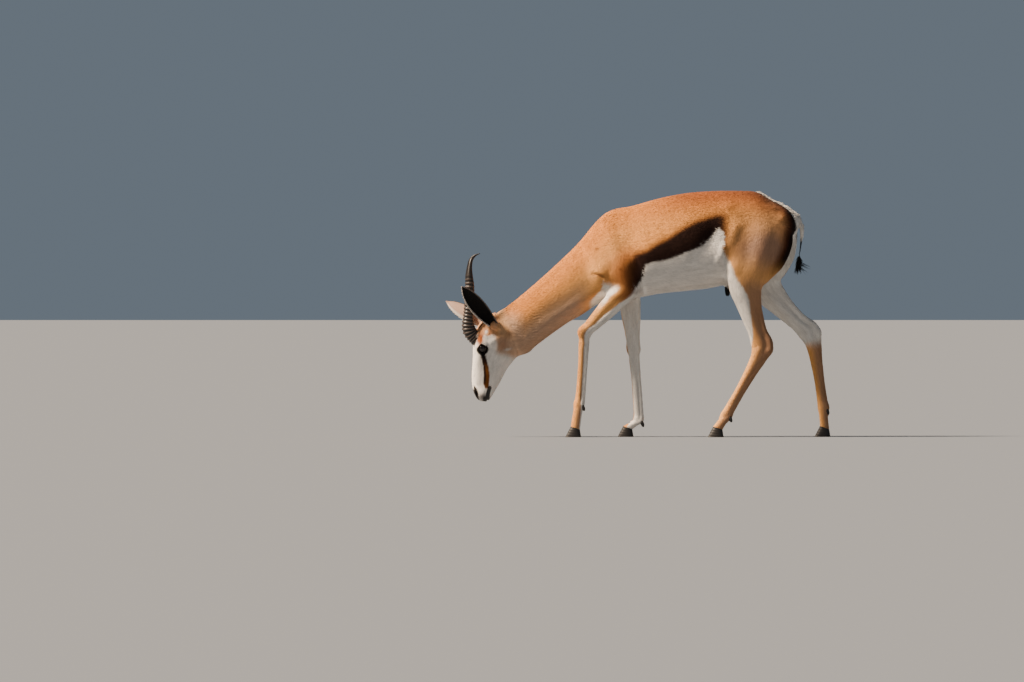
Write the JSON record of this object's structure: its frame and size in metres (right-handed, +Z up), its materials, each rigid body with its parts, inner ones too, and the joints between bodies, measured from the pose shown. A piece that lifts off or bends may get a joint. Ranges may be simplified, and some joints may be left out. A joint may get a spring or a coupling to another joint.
{
  "type": "springbok",
  "caption": "Life-size springbok ram, a still model walking with its head down to graze: ringed horns, cupped ears, slim legs with cloven hooves and a tufted tail",
  "frame": {"origin": "centre of the box round the animal, on the floor that the hooves stand on", "axes": "+X towards the rump, the animal faces -X; +Y to the animal's right; +Z up"},
  "size_m": [1.3058, 0.2146, 0.8378],
  "materials": {
    "coat": "short fur, tan above and white below with a dark brown flank stripe",
    "white_hair": "white hair",
    "dark_hair": "black hair",
    "horn": "ringed black horn, satin",
    "hoof": "worn black horn",
    "eye": "dark brown, wet gloss"
  },
  "bodies": {
    "root": {"leg_front_left": "coat", "leg_front_right": "coat", "leg_hind_left": "coat", "leg_hind_right": "coat", "head": "coat", "neck": "coat", "torso": "coat", "tail": "white_hair", "tail_tuft": "dark_hair", "sheath": "dark_hair", "horn_left": "horn", "ear_left": "coat", "eye_left": "eye", "horn_right": "horn", "ear_right": "coat", "eye_right": "eye", "hoof_front_left_inner": "hoof", "dewclaw_front_left_inner": "hoof", "hoof_front_left_outer": "hoof", "dewclaw_front_left_outer": "hoof", "hoof_front_right_inner": "hoof", "dewclaw_front_right_inner": "hoof", "hoof_front_right_outer": "hoof", "dewclaw_front_right_outer": "hoof", "hoof_hind_left_inner": "hoof", "dewclaw_hind_left_inner": "hoof", "hoof_hind_left_outer": "hoof", "dewclaw_hind_left_outer": "hoof", "hoof_hind_right_inner": "hoof", "dewclaw_hind_right_inner": "hoof", "hoof_hind_right_outer": "hoof", "dewclaw_hind_right_outer": "hoof"}
  },
  "joints": []
}
